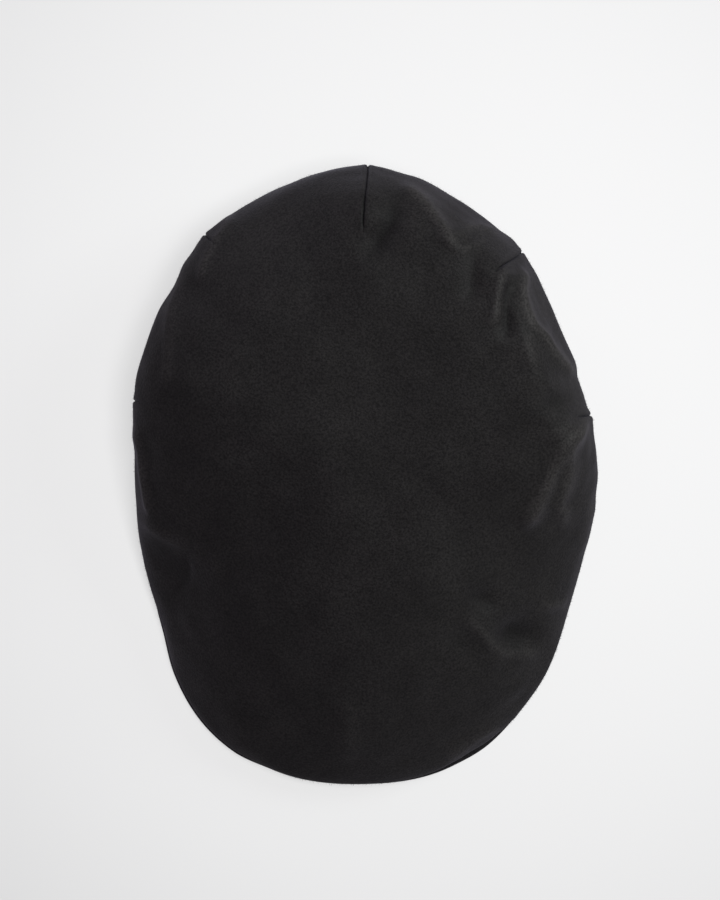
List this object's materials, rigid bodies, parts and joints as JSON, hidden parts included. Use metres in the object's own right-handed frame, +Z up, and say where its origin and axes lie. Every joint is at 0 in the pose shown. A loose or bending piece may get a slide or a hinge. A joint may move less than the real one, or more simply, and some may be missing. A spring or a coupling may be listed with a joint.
{
  "type": "flat cap",
  "caption": "Soft flat cap of brushed black wool: a low one-piece crown with short darts, laid forward over a stiff crescent peak, with a sweatband inside the rim.",
  "frame": {"origin": "middle of the cap's footprint, on the surface it rests on", "axes": "-Y towards the front of the peak, +Z up, +X over the wearer's left side"},
  "size_m": [0.2046, 0.2728, 0.0897],
  "materials": {
    "crown_cloth": "brushed wool with a short soft nap, matt, faint cool sheen at grazing angles",
    "peak_cloth": "the same wool drawn tight over a stiff board, matt",
    "sweatband_tape": "woven ribbed tape, matt"
  },
  "bodies": {
    "root": {"crown": "crown_cloth", "peak": "peak_cloth", "sweatband": "sweatband_tape"}
  },
  "joints": []
}
